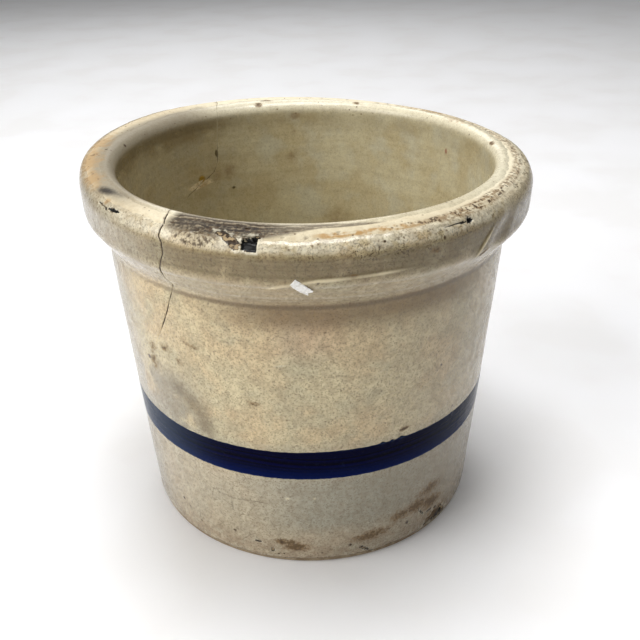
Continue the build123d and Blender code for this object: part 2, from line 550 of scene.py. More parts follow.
# ---------------------------------------------------------------- pieces
def build_outer_glaze():
    """From just above the foot, up the wall, round the collar and onto the rim's top."""
    face = rows(
        steps(GLAZE_START, outside(18), 1.2),
        steps(outside(18), outside(98), 3.7),
        steps(outside(98), outside(146), 2.6),
        steps(outside(146), outside(160), 1.6),
        steps(outside(160), outside(169), 0.7),
        steps(outside(169), outside(175), 1.0),
        steps(outside(175), OUTER_EDGE, 0.48),
        [OUTER_EDGE],
    )
    lift = COAT * (SUNK_EDGE + (1 - SUNK_EDGE) * smooth(OUTER_EDGE, OUTER_EDGE - 3 * MM, face))
    # the coat's lower edge is rounded: it starts thin, and is almost full one row up
    lift[:2] = np.array([0.05, 0.85])[:, None] * COAT
    face += smooth(OUTER_EDGE - 7 * MM, OUTER_EDGE, face) * edge_wander(41, 1.5, 0.4)
    face += smooth(GLAZE_START + 8 * MM, GLAZE_START, face) * edge_wander(37, 0.7, 1.7)
    angle, radius, height = grid_places(face, lift)
    crack = crack_share(angle, face, radius)
    chips = depth_of(CHIPS, angle, face, radius)
    pits = depth_of(PITS, angle, face, radius)
    flow_and_highlight = flow_share(angle, height)
    lift += flow_and_highlight * FLOW_RISE - crack * CRACK_DEPTH - np.maximum(chips, pits)
    lift -= depth_of(RAISED, angle, face, radius)
    # the fold's crease is painted pale along with the raised line, as a painted highlight
    flow_and_highlight = np.maximum(flow_and_highlight, mark_share(FOLD, angle, face, radius) * 0.9)
    # the back runs inside the clay, deepest behind the chipped shoulder
    hidden = rows(np.linspace(OUTER_EDGE - EDGE_INSET, GLAZE_START + EDGE_INSET, 7))
    behind = np.array([0.3, 3.2, 1.6, 0.3, 0.3, 0.3, 0.3])[:, None] * MM
    hidden_angle, hidden_radius, _ = grid_places(hidden, 0.0)
    behind = behind + depth_of(CHIPS, hidden_angle, hidden, hidden_radius)
    values = {"crack": crack, "pit": smooth(0.05 * MM, 0.3 * MM, pits), "flow_and_highlight": flow_and_highlight}
    values |= rim_dirt(angle, face) | damage(angle, face, radius)
    lift = np.vstack([lift, -behind])
    return ring_piece("outer_glaze_coat", np.vstack([face, hidden]), lift, with_back(values, hidden))


def build_inner_glaze():
    """From the rim's top, down the inside and over the floor."""
    face = rows(
        steps(INNER_EDGE, inside(174), 0.75),
        steps(inside(174), inside(28), 2.9),
        steps(inside(28), on_floor(62), 1.9),
        steps(on_floor(62), on_floor(1.5), 4.2),
        [on_floor(1.5), on_floor(0)],
    )
    lift = COAT * (SUNK_EDGE + (1 - SUNK_EDGE) * smooth(INNER_EDGE, INNER_EDGE + 3 * MM, face))
    face += smooth(INNER_EDGE + 7 * MM, INNER_EDGE, face) * edge_wander(43, 1.5, 2.2)
    angle, radius, height = grid_places(face, lift)
    crack = crack_share(angle, face, radius)
    lift -= crack * CRACK_DEPTH * 0.15 * smooth(inside(152), inside(160), face)
    hidden = rows(np.linspace(on_floor(0), INNER_EDGE + EDGE_INSET, 26))
    values = with_back({"crack": crack} | rim_dirt(angle, face), hidden)
    seen = face.shape[0]
    lift = np.vstack([lift, np.full_like(hidden, -BACK_DEPTH)])
    return ring_piece("inner_glaze_coat", np.vstack([face, hidden]), lift, values, poles=(seen - 1, seen))


# How much wider and deeper the chips are in the clay than in the glaze over it
CLAY_CHIPS = 1.3


def build_body():
    """The clay: bare under the foot and along the rim's top, and behind the coats everywhere else."""
    run = rows(
        [underneath(0)],
        steps(underneath(3), underneath(78), 5),
        steps(underneath(78), outside(8), 0.9),
        steps(outside(8), outside(146), 12),
        steps(outside(146), outside(175), 2.2),
        steps(outside(175), on_top(106), 0.9),
        steps(on_top(106), on_top(97.5), 0.4),
        steps(on_top(97.5), inside(176), 1.4),
        steps(inside(176), inside(28), 12),
        steps(inside(28), on_floor(62), 2.8),
        steps(on_floor(62), on_floor(4), 9),
        [on_floor(0)],
    )
    angle, radius, height = grid_places(run, 0.0)
    crack = crack_share(angle, run, radius)
    chips = depth_of(CHIPS + PITS, angle, run, radius, CLAY_CHIPS) * CLAY_CHIPS
    pits = depth_of(LAND_PITS, angle, run, radius)
    hollow = np.maximum(depth_of([FOLD_HOLLOW], angle, run, radius, wider=1.1), 0)
    lift = -crack * CRACK_DEPTH * 1.2 - np.maximum(chips, pits) - hollow
    values = {"crack": crack, "pit": smooth(0.05 * MM, 0.3 * MM, pits)}
    values |= rim_dirt(angle, run) | damage(angle, run, radius, CLAY_CHIPS)
    return ring_piece("clay_body", run, lift, values, poles=(0, run.shape[0] - 1))


# Drips on the band's upper edge: angle, and width and reach in millimetres
DRIPS = [(290.6, 2.6, 0.9), (293.6, 1.8, 0.5), (296.6, 4.0, 0.9), (317.0, 1.2, 0.6)]


def build_band():
    """A ring let into the outer glaze, with uneven brushed edges and dried drips on its upper edge."""
    face = rows(
        BAND_START + np.array([0.0, 0.15, 0.5]) * MM,
        steps(BAND_START + 1.5 * MM, BAND_END - 3 * MM, 1.6),
        BAND_END - np.array([3.0, 2.2, 1.5, 1.0, 0.5, 0.15, 0.0]) * MM,
    )
    # its face stands a hair proud of the glaze, and its two edges are sunk
    lift = np.full_like(face, COAT + 0.05 * MM)
    lift[0] = lift[-1] = COAT - 0.25 * MM
    lift[1] = lift[-2] = COAT + 0.02 * MM
    face += smooth(BAND_END - 5 * MM, BAND_END, face) * edge_wander(71, 0.3, 0.9)
    face += smooth(BAND_START + 5 * MM, BAND_START, face) * edge_wander(83, 0.3, 2.9)
    for angle, width, reach in DRIPS:
        aside = np.radians(turned(ANGLES, angle)) * RIM_RADIUS / (width / 2 * MM)
        drip = np.exp(-(aside**2)) * smooth(BAND_END - 3 * MM, BAND_END, face)
        face += drip * reach * MM
        lift += drip * 0.35 * MM * (lift > COAT)
    hidden = rows([BAND_END - BACK_DEPTH, BAND_START + BACK_DEPTH])
    lift = np.vstack([lift, np.full_like(hidden, COAT - BACK_DEPTH)])
    return ring_piece("cobalt_ring", np.vstack([face, hidden]), lift, {})


def build_scrap():
    """A torn strip of paper stuck over the collar's ridge, its right-hand end lifting a little."""
    across, along = 12, 20
    wide, tall = SCRAP_HIGH.x - SCRAP_LOW.x, SCRAP_HIGH.z - SCRAP_LOW.z
    x, z = SCRAP_LOW.x, SCRAP_LOW.z
    left_ends = np.array([[x - 0.03 * wide, z + 0.82 * tall], [x + 0.22 * wide, z + 1.09 * tall]])
    right_ends = np.array([[x + 0.71 * wide, z + 0.17 * tall], [x + wide, z + 0.58 * tall]])
    vertices = []
    for lift in (COAT + 0.25 * MM, COAT + 0.1 * MM):
        for j in range(across + 1):
            v = j / across
            for i in range(along + 1):
                u = i / along
                x, z = (1 - u) * (left_ends[0] * (1 - v) + left_ends[1] * v) + u * (
                    right_ends[0] * (1 - v) + right_ends[1] * v
                )
                torn = smooth(0.75, 1.0, u) * (0.5 * math.sin(8 * v + 1.0) + 0.25 * math.sin(19 * v)) * MM
                fold = 0.25 * MM * math.exp(-(((u - 0.62 - 0.1 * v) / 0.05) ** 2))
                curl = 0.6 * MM * smooth(0.72, 1.0, u) * (0.3 + 0.7 * v) + fold
                angle = np.array(FRONT + math.degrees((x + torn) / RIM_RADIUS))
                radius, height = section_at(np.array(outside(z / MM)), lift + curl)
                vertices.append(to_points(angle, *bend_round(angle, radius, height)))
    sheet = (across + 1) * (along + 1)
    faces = []
    for j in range(across):
        for i in range(along):
            a = j * (along + 1) + i
            b = a + along + 1
            faces.append((a, a + 1, b + 1, b))
            faces.append((sheet + a, sheet + b, sheet + b + 1, sheet + a + 1))
    rim = list(range(along + 1))
    rim += [j * (along + 1) + along for j in range(1, across + 1)]
    rim += [across * (along + 1) + i for i in range(along - 1, -1, -1)]
    rim += [j * (along + 1) for j in range(across - 1, 0, -1)]
    faces += [(a, sheet + a, sheet + b, b) for a, b in zip(rim, rim[1:] + rim[:1])]
    return new_object("paper_remnant", vertices, faces)


# ---------------------------------------------------------------- paint: short names for shader nodes
def tint(red, green, blue):
    """A colour from screen values of 0 to 255."""
    return tuple((c / 255) ** 2.2 for c in (red, green, blue)) + (1.0,)


class Paint:
    """One node material. Its methods add a node and give back the socket that comes out of it. Places are
    read with gradient textures, which keeps the material small enough for the renderer."""

    def __init__(self, name, roughness=0.5, coat=0.0, shine=0.5):
        self.material = bpy.data.materials.new(name)
        self.material.use_nodes = True
        self.tree = self.material.node_tree
        self.shader = self.tree.nodes["Principled BSDF"]
        self.shader.inputs["Coat Weight"].default_value = coat
        self.shader.inputs["Coat Roughness"].default_value = 0.06
        self.shader.inputs["Specular IOR Level"].default_value = shine
        self.shader.inputs["Roughness"].default_value = roughness
        self.colour = None
        self.dirt = 0.0
        self.point = self.node("ShaderNodeTexCoord").outputs["Object"]
        x, y, z = Matrix.Identity(3)
        reach = 0.25
        upright = self.gradient("LINEAR", (z, x, y), (reach, 1, 1))
        outward = self.gradient("SPHERICAL", (x, y, z), (reach, reach, 1 / MM))
        circling = self.gradient("RADIAL", (-y, x, z), (1, 1, 1))
        self.height = self.maths("MULTIPLY", upright, reach)
        self.radius = self.maths("MULTIPLY_ADD", outward, -reach, reach)
        # radians from the front, going up towards +X
        self.around = self.maths("MULTIPLY_ADD", circling, math.tau, -math.pi)

    def gradient(self, kind, axes, sizes, place=(0, 0, 0)):
        """A gradient texture, 0 to 1, in a frame with its own axes, sizes and place."""
        made = self.node("ShaderNodeMapping", self.point, vector_type="TEXTURE")
        made.inputs["Location"].default_value = place
        made.inputs["Rotation"].default_value = Matrix(axes).transposed().to_euler("XYZ")
        made.inputs["Scale"].default_value = sizes
        return self.node("ShaderNodeTexGradient", made.outputs[0], gradient_type=kind).outputs["Fac"]

    def node(self, kind, *inputs, **settings):
        made = self.tree.nodes.new(kind)
        for label, value in settings.items():
            setattr(made, label, value)
        for socket, value in zip(made.inputs, inputs):
            self.feed(socket, value)
        return made

    def feed(self, socket, value):
        if isinstance(value, bpy.types.NodeSocket):
            self.tree.links.new(value, socket)
        elif value is not None:
            socket.default_value = value

    def maths(self, operation, *inputs):
        return self.node("ShaderNodeMath", *inputs, operation=operation).outputs[0]

    def noise(self, size, detail=2.0):
        """Soft noise, about 0.5, whose lumps have a size in millimetres."""
        made = self.node("ShaderNodeTexNoise", self.point)
        made.inputs["Scale"].default_value = 1 / (size * MM)
        made.inputs["Detail"].default_value = detail
        return made.outputs["Fac"]

    def streaks(self, across, wide, drift):
        """Lines of noise, so many millimetres wide, that wander over a longer distance."""
        wander = self.times(self.noise(drift, 1), 5.0)
        made = self.node("ShaderNodeTexNoise", noise_dimensions="1D")
        self.feed(made.inputs["W"], self.plus(self.times(across, 1 / (wide * MM)), wander))
        made.inputs["Scale"].default_value = 1.0
        return made.outputs["Fac"]

    def cells(self, size, feature="F1"):
        made = self.node("ShaderNodeTexVoronoi", self.point, feature=feature)
        made.inputs["Scale"].default_value = 1 / (size * MM)
        return made

    def specks(self, size, share, fill=0.3):
        """Small dots in some of a grid of cells. Fill is the dot's size as a share of its cell."""
        made = self.cells(size)
        chosen = self.node("ShaderNodeSeparateColor", made.outputs["Color"]).outputs[0]
        dots = self.between(made.outputs["Distance"], fill, fill * 0.4)
        return self.times(dots, self.between(chosen, 1 - share, 1 - share + 0.04))

    def between(self, value, low, high):
        """0 where the value is low, 1 where it is high, and a smooth change between them."""
        made = self.node("ShaderNodeMapRange", value, interpolation_type="SMOOTHSTEP")
        made.inputs["From Min"].default_value = low
        made.inputs["From Max"].default_value = high
        return made.outputs["Result"]

    def within(self, value, low, high, soft):
        """1 between two limits, 0 outside them."""
        above = self.between(value, low - soft, low + soft)
        return self.times(above, self.between(value, high + soft, high - soft))

    def rising(self, low, high):
        """0 at one height and 1 at another."""
        return self.between(self.height, low, high)

    def level(self, low, high, soft):
        """1 between two heights."""
        return self.within(self.height, low, high, soft)

    def patches(self, size, detail, low, high):
        """Patches of noise, whose edges are where it passes from low to high."""
        return self.between(self.noise(size, detail), low, high)

    def sector(self, start, end, soft=3.0):
        """1 between two angles, in degrees from the front."""
        start, end, soft = math.radians(start), math.radians(end), math.radians(soft)
        return self.within(self.around, start, end, soft)

    def times(self, *values):
        total = values[0]
        for value in values[1:]:
            total = self.maths("MULTIPLY", total, value)
        return total

    def plus(self, *values):
        total = values[0]
        for value in values[1:]:
            total = self.maths("ADD", total, value)
        return total

    def cover(self, share, over, strength=1.0):
        """Lays a colour over what is painted so far."""
        if strength != 1.0:
            share = self.times(share, strength)
        self.colour = self.mix(share, self.colour, over)

    def soil(self, share, over, strength=1.0):
        """Lays dirt over what is painted so far, which also dulls the surface."""
        if strength != 1.0:
            share = self.times(share, strength)
        self.dirt = self.maths("MAXIMUM", self.dirt, share)
        self.cover(share, over)

    def attribute(self, label):
        return self.node("ShaderNodeAttribute", attribute_name=label).outputs["Fac"]

    def mix(self, share, under, over, blend="MIX"):
        made = self.node("ShaderNodeMix", data_type="RGBA", blend_type=blend)
        self.feed(made.inputs[0], share)
        self.feed(made.inputs[6], under)
        self.feed(made.inputs[7], over)
        return made.outputs[2]

    def blot(self, run, angle, width, height, tilt=0.0):
        """A painted mark: 1 at its middle, falling to 0 at its edge."""
        here = Vector(surface_point(run, angle))
        around = (Vector(surface_point(run, angle + 0.2)) - here).normalized()
        along = (Vector(surface_point(run + 0.4 * MM, angle)) - here).normalized()
        out = around.cross(along).normalized()
        turn = Matrix((around, out.cross(around), out)).transposed()
        turn = turn @ Matrix.Rotation(math.radians(tilt), 3, "Z")
        return self.gradient("SPHERICAL", turn.transposed(), (width * MM, height * MM, 12 * MM), here)

    def blots(self, places):
        """The strongest of several painted marks at each point. Each is: where along the section, angle,
        half its width and half its height in millimetres, strength, and a tilt if it has one."""
        total = 0.0
        for run, angle, width, height, strength, *tilt in places:
            shape = self.blot(run, angle, width, height, *tilt)
            total = self.maths("MAXIMUM", total, self.times(shape, strength))
        return total

    def ragged(self, share, noise, weight, low, high):
        """Gives a soft mark an uneven edge."""
        return self.between(self.plus(share, self.times(noise, weight)), low, high)

    def finish(self, roughness=None, heights=()):
        """Ends the material. Heights are (socket, millimetres) for the bump."""
        self.feed(self.shader.inputs["Base Color"], self.colour)
        self.feed(self.shader.inputs["Roughness"], roughness)
        normal = None
        for height, rise in heights:
            bump = self.node("ShaderNodeBump")
            bump.inputs["Distance"].default_value = rise * MM
            self.feed(bump.inputs["Height"], height)
            self.feed(bump.inputs["Normal"], normal)
            normal = bump.outputs["Normal"]
        self.feed(self.shader.inputs["Normal"], normal)
        return self.material


def surface_point(run, angle):
    """A place on the glazed surface, on the bent crock."""
    radius, height = section_at(run, COAT)
    return to_points(angle, *bend_round(angle, radius, height))


# ---------------------------------------------------------------- stains
# Each is: a height or a radius, angle, half its width, half its height, strength, and a tilt if it has one
BROWN_STAINS = placed(
    outside,
    # at the foot: left blotch, middle and right patches
    (14.5, 259.8, 5.5, 4.0, 0.9),
    (11.6, 264.4, 11, 5.0, 0.9),
    (14.2, 262.6, 6, 4, 0.85),
    (14.6, 288.6, 20, 6, 0.75, 5),
    (21.5, 299.5, 14, 7, 0.7),
    (22.5, 305.5, 15, 8, 0.8),
    (19.5, 312.5, 14, 9, 0.85, -10),
    (29.5, 311.0, 20, 8, 0.7, 10),
    (8.0, 316.5, 17, 9, 0.9),
    # above the band
    (77.0, 297.5, 5, 1.8, 1.0, 8),
    # by the front crack
    (112.4, 221.2, 6, 5, 0.6),
    (104.5, 220.2, 6, 12, 0.6, -8),
    (115.6, 227.2, 8, 5, 0.62, 10),
    (111.2, 231.9, 5, 4.5, 0.55),
    (123.8, 236.0, 6, 5, 0.5),
    (98.0, 254.6, 6, 4.5, 0.55),
    (121.9, 238.5, 8, 5, 0.45),
    # on the collar
    (163.2, 312.7, 6, 2, 1.0, 20),
    (167.5, 279.4, 2.6, 2, 0.9),
    (173.3, 297.5, 4, 2.2, 0.75),
) + placed(
    on_top,
    (93.6, 106.1, 4, 3, 0.9),
    (96.1, 102.8, 7, 2.2, 0.8),
    (94.7, 71.1, 4, 2.5, 0.8),
    (93.4, 4.9, 5, 2.2, 0.9),
)
GREY_STAINS = placed(
    outside,
    (94.5, 230.4, 13, 9, 0.75, -30),
    (88.5, 236.0, 17, 9, 0.95, -40),
    (79.1, 239.0, 10, 10, 0.9),
    (116.9, 263.5, 5, 4, 0.4),
    (103.5, 222.4, 4, 6, 0.5),
    (166.5, 226.5, 7, 9, 0.45, 20),
)
DARK_DOTS = placed(
    outside,
    (146.7, 244.9, 1.4, 1.4, 0.6),
    (135.6, 250.0, 1.8, 1.6, 0.55),
    (119.7, 243.2, 2.2, 1.6, 0.6),
    (101.9, 246.7, 1.4, 1.2, 0.55),
    (104.4, 217.8, 2.6, 2.4, 1.0),
    (77.0, 297.5, 4.4, 1.0, 0.9, 8),
    (105.8, 308.8, 1.5, 1.5, 0.9),
    (112.1, 285.8, 1.6, 1.5, 0.55),
    (102.1, 289.3, 1.8, 1.5, 0.6),
    (118.8, 298.9, 1.6, 1.4, 0.55),
    (76.1, 317.1, 1.8, 1.5, 0.9),
    (140.6, 277.1, 1.5, 1.5, 0.5),
    (168.0, 331.6, 1.3, 1.6, 1.0),
    (165.6, 272.1, 1.1, 1.0, 1.0),
) + placed(
    on_top,
    (107.6, 286.0, 1.2, 1.1, 1.0),
    (109.0, 299.7, 1.3, 1.8, 0.9),
) + placed(
    outside,
    (15.9, 244.0, 1.8, 1.4, 1.0),
    (20.4, 222.2, 2.2, 2.2, 0.9),
    (17.7, 225.2, 1.4, 4.0, 0.8, 25),
    (12.5, 230.3, 1.8, 1.4, 0.8),
    (10.8, 281.8, 1.8, 1.8, 1.0),
    (7.3, 272.7, 1.3, 1.1, 0.9),
    (14.0, 302.1, 2.2, 2.6, 0.9),
    (5.4, 319.0, 9.0, 2.6, 1.0, 4),
    (5.8, 258.7, 1.3, 1.1, 0.9),
    (6.3, 260.5, 1.1, 1.0, 0.9),
    (14.2, 260.0, 1.6, 1.6, 1.0),
) + placed(
    on_top,
    (97.4, 176.5, 1.7, 1.5, 1.0),
    (101.5, 192.3, 1.8, 1.8, 1.0),
    (92.6, 168.5, 1.8, 1.8, 1.0),
)
PALE_SPOTS_AND_GLINT = placed(
    outside,
    (43.5, 262.5, 2.6, 1.8, 0.8),
    (43.8, 270.6, 1.9, 1.6, 0.8),
    # a painted highlight on a glossy lump of glaze
    (119.7, 262.7, 6.0, 1.3, 0.7, 12),
)
HAIRLINES = placed(
    outside,
    (38.6, 241.8, 8.0, 0.7, 1.0, -6),
    (38.4, 247.8, 8.0, 0.7, 1.0, 8),
    (39.0, 254.0, 8.0, 0.7, 1.0, -2),
    (32.0, 244.3, 0.8, 7.0, 0.9),
)
TAN_STAINS = placed(
    on_top,
    (103.6, 185, 36, 10, 1.1),
    (102.6, 171, 26, 9, 1.0),
    (103.6, 199, 24, 8, 1.0),
    (104.5, 131, 12, 4, 0.8),
    (101.0, 46, 52, 8, 0.8),
    (96.5, 30, 26, 6, 0.7),
    (105.9, 214.8, 4, 3, 0.9),
)
SMUDGES = placed(
    on_top,
    (102.3, 210.4, 13, 4.4, 1.15, 17),
    (100.0, 214.0, 18, 5.0, 0.6, 17),
    (98.5, 126.5, 8, 3.0, 0.5),
)
DIRTY_PATCH = placed(on_top, (107.0, 245.5, 17, 7.5, 1.0), (105.6, 242.0, 7, 5, 0.9))
LINER_STAINS = placed(
    inside,
    (149.2, 120.0, 9, 9, 0.7),
    (147.8, 125.3, 9, 12, 0.55),
    (177.0, 93.3, 6, 4, 0.9),
    (153.7, 94.9, 7, 6, 0.7),
    (168.1, 93.7, 3, 2.5, 0.6),
    (116.0, 78.0, 22, 16, 0.5, 10),
    (96.0, 140.0, 18, 12, 0.5, -20),
)
YELLOW_SPOT = placed(inside, (148.2, 131.9, 4.5, 4, 1.0))
PINK_SPOT = placed(inside, (167.4, 31.4, 2.2, 3.6, 0.8, 10))
OLIVE_DOTS = placed(inside, (160.6, 124.3, 2.2, 4.5, 1.0), (138.9, 118.7, 3.0, 2.2, 0.8))


def rim_weather_and_highlight(paint):
    """Stains that lie across the rim's top, and a painted highlight along it, whichever piece they are on."""
    ragged = paint.noise(1.3, 3)
    streak = paint.streaks(paint.radius, 1.0, 16)
    # painted highlight: the glaze is painted paler along the rim's top, less so at the left and at the front
    pale = paint.rising(RIM_TOP - 6 * MM, RIM_TOP - 1 * MM)
    painted_highlight = paint.mix(paint.sector(-142, -40, 12), tint(236, 228, 202), tint(206, 192, 164))
    painted_highlight = paint.mix(paint.times(paint.sector(-8, 48, 12), 0.8), painted_highlight, tint(212, 200, 170))
    paint.cover(pale, painted_highlight, 0.7)
    left = paint.times(paint.sector(-142, -50, 10), paint.between(paint.radius, 104 * MM, 99 * MM))
    grey = paint.times(left, pale, paint.between(ragged, 0.0, 0.4))
    paint.soil(grey, tint(140, 132, 114), 0.85)
    lumpy = paint.noise(3, 3)
    paint.soil(paint.ragged(paint.blots(TAN_STAINS), lumpy, 1.2, 0.8, 1.5), tint(170, 138, 94), 0.8)
    # dark grime rubbed along the near rim
    grime = paint.attribute("grime")
    rubbed = paint.ragged(streak, ragged, 0.7, 0.5, 0.95)
    paint.soil(grime, tint(122, 104, 76), 0.8)
    paint.soil(paint.times(grime, rubbed), tint(44, 33, 20))
    # a rusty line from the front, that turns into brown grit on the right
    rust = paint.attribute("rust")
    broken = paint.ragged(paint.times(streak, 0.5), lumpy, 0.7, 0.48, 0.68)
    paint.cover(paint.times(rust, broken, paint.sector(0, 26, 4)), tint(176, 134, 74), 0.9)
    paint.cover(paint.times(rust, broken, paint.sector(26, 140, 6)), tint(128, 98, 60), 0.8)
    grit = paint.times(paint.patches(1.5, 3, 0.54, 0.62), rust, paint.sector(20, 160, 8))
    paint.cover(grit, tint(62, 44, 26), 0.9)
    # specks and smudges
    top = paint.rising(RIM_TOP - 8 * MM, RIM_TOP - 5 * MM)
    paint.cover(paint.times(paint.specks(2.2, 0.16, 0.3), top), tint(96, 72, 44), 0.75)
    paint.soil(paint.ragged(paint.blots(SMUDGES), ragged, 0.4, 0.3, 1.2), tint(58, 52, 44))


def spots(paint):
    """Stains and dots with their own places."""
    ragged = paint.noise(1.6, 3)
    brown = paint.blots(BROWN_STAINS)
    paint.soil(paint.ragged(brown, ragged, 0.9, 0.62, 1.1), tint(126, 94, 46), 0.8)
    paint.cover(paint.ragged(brown, paint.noise(1.2, 3), 1.4, 1.16, 1.4), tint(68, 47, 18), 0.7)
    paint.cover(paint.ragged(paint.blots(GREY_STAINS), ragged, 0.6, 0.42, 1.1), tint(102, 88, 58), 0.66)
    # pale spots, and a painted highlight on a glossy lump
    paint.cover(paint.between(paint.blots(PALE_SPOTS_AND_GLINT), 0.2, 0.8), tint(222, 212, 180))
    hair = paint.times(paint.between(paint.blots(HAIRLINES), 0.05, 0.5), paint.between(ragged, 0.36, 0.56))
    paint.cover(hair, tint(84, 72, 52), 0.55)
    paint.cover(paint.between(paint.blots(DARK_DOTS), 0.3, 0.72), tint(62, 44, 26))


# ---------------------------------------------------------------- materials
def drifts(paint, base, warm, cool):
    """Slow drifts of colour in a fired glaze."""
    paint.colour = base
    paint.cover(paint.patches(26, 3, 0.38, 0.64), warm)
    paint.cover(paint.patches(15, 4, 0.44, 0.68), cool, 0.7)


def grains(paint, strength):
    """The oatmeal texture of a stoneware glaze: clumps, fine grains and dark flecks."""
    paint.cover(paint.patches(5, 3, 0.4, 0.66), tint(124, 102, 74), 0.22 * strength)
    paint.cover(paint.patches(1.5, 3, 0.36, 0.66), tint(116, 94, 64), 0.32 * strength)
    paint.cover(paint.patches(0.75, 2, 0.54, 0.67), tint(84, 64, 38), 0.38 * strength)


def broken_glaze(paint):
    """The chips: a pale bruised edge that is partly a painted highlight, then tan clay with a dark outline,
    and black where it is deep, as soot and painted shade in the hole.
    """
    # the pale halo round each chip: bruised glaze, and partly a painted highlight
    halo = paint.times(paint.attribute("halo"), paint.patches(2.4, 3, 0.4, 0.6))
    paint.cover(halo, tint(230, 222, 198), 0.6)
    chip = paint.attribute("chip")
    broken = paint.mix(paint.patches(2.2, 3, 0.5, 0.6), tint(164, 142, 108), tint(56, 42, 26))
    broken = paint.mix(paint.between(chip, 0.86, 0.66), broken, tint(20, 14, 9))
    # black in the deepest part: soot, and painted shade in the hole
    dark = paint.mix(paint.patches(2.6, 2, 0.6, 0.75), tint(5, 4, 3), tint(60, 44, 26))
    broken = paint.mix(paint.between(paint.attribute("deep"), 0.04, 0.3), broken, dark)
    paint.cover(paint.between(chip, 0.25, 0.6), broken)


def paint_foot(paint):
    """Below the band: greyer, greenest at the middle, darker at the right as painted shade, browner at the
    foot, and crackled at the left.
    """
    below = paint.rising(62 * MM, 52 * MM)
    paint.cover(below, tint(184, 174, 156), 0.6)
    middle = paint.times(below, paint.rising(16 * MM, 30 * MM), paint.sector(-12, 80, 14))
    paint.cover(middle, tint(164, 163, 146), 0.75)
    # painted shade on the right side below the band
    paint.cover(paint.times(below, paint.sector(14, 150, 30)), tint(128, 122, 106), 0.45)
    foot = paint.times(paint.rising(24 * MM, 8 * MM), paint.patches(4, 3, 0.36, 0.6))
    paint.cover(foot, tint(156, 130, 104), 0.45)
    crazed = paint.between(paint.cells(9, "DISTANCE_TO_EDGE").outputs["Distance"], 0.035, 0.012)
    crazed = paint.times(crazed, below, paint.sector(-75, -12, 12), paint.patches(6, 3, 0.45, 0.6))
    paint.cover(crazed, tint(104, 90, 68), 0.5)


def paint_wall(paint):
    """Above the band: greyer to the left and the right, partly as painted shade, a pink flush, amber where
    glaze pooled under the collar with painted shade over it, and a painted shadow line at the neck.
    """
    # grey patches on the left of the wall, and the far left painted greyer as painted shade
    left = paint.times(paint.sector(-80, -33, 7), paint.level(60 * MM, 104 * MM, 10 * MM))
    left = paint.times(left, paint.patches(12, 2, 0.26, 0.5))
    left = paint.maths("MAXIMUM", left, paint.sector(-120, -58, 12))
    paint.cover(left, tint(140, 136, 122), 0.74)
    # the right side painted darker: partly a browner glaze, partly painted shade
    paint.cover(paint.sector(30, 120, 24), tint(160, 146, 122), 0.4)
    paint.cover(paint.level(70 * MM, 76 * MM, 3 * MM), tint(168, 166, 146), 0.35)
    pink = paint.times(paint.sector(-8, 6, 6), paint.level(124 * MM, 144 * MM, 7 * MM))
    paint.cover(pink, tint(200, 154, 126), 0.32)
    # amber glaze under the collar, darkened there as painted shade from the collar
    neck = paint.level(NECK_HEIGHT - 12 * MM, NECK_HEIGHT + 2 * MM, 6 * MM)
    paint.cover(paint.times(neck, paint.sector(-20, 50, 14)), tint(118, 90, 48), 0.75)
    # a thin painted shadow line where the collar meets the wall
    seam = paint.level(NECK_HEIGHT - 2.6 * MM, NECK_HEIGHT - 0.4 * MM, 0.9 * MM)
    paint.cover(paint.times(seam, paint.sector(-50, 90, 25)), tint(88, 70, 42), 0.7)


def paint_collar(paint):
    """The collar: khaki and freckled on its face, a greyer bead below with pale streaks as a painted
    reflection of the floor, and dark dots on its shoulder.
    """
    collar = paint.level(RIDGE_HEIGHT + 1 * MM, RIM_TOP - 8 * MM, 2.5 * MM)
    lines = paint.between(paint.streaks(paint.height, 1.6, 60), 0.45, 0.65)
    khaki = paint.plus(paint.times(paint.sector(-45, 100, 20), paint.patches(9, 2, 0.1, 0.5)), 0.3)
    khaki = paint.times(collar, khaki, paint.plus(0.85, paint.times(lines, 0.15)))
    paint.cover(khaki, tint(128, 114, 80), 0.8)
    # painted reflection of the floor: the bead under the ridge is painted grey with pale streaks
    bead = paint.level(NECK_HEIGHT + 1 * MM, RIDGE_HEIGHT, 2 * MM)
    paint.cover(bead, tint(160, 150, 130), 0.6)
    paint.cover(paint.times(bead, lines), tint(212, 204, 186), 0.35)
    # painted reflection: the bead is painted paler still at the left
    grey = paint.times(paint.rising(NECK_HEIGHT, RIDGE_HEIGHT), paint.sector(-100, -40, 12))
    paint.cover(grey, tint(178, 172, 156), 0.55)
    above = paint.rising(RIDGE_HEIGHT - 2 * MM, RIDGE_HEIGHT + 3 * MM)
    paint.cover(paint.times(above, paint.patches(1.1, 3, 0.56, 0.64)), tint(82, 68, 42), 0.55)
    shoulder = paint.level(RIM_TOP - 12 * MM, RIM_TOP - 3 * MM, 2 * MM)
    dense = paint.times(paint.patches(0.9, 2, 0.57, 0.63), paint.patches(7, 2, 0.4, 0.6))
    paint.cover(paint.times(dense, shoulder, paint.sector(-2, 44, 8)), tint(60, 48, 30))
    paint.cover(paint.specks(3.4, 0.16, 0.2), tint(98, 74, 44), 0.6)


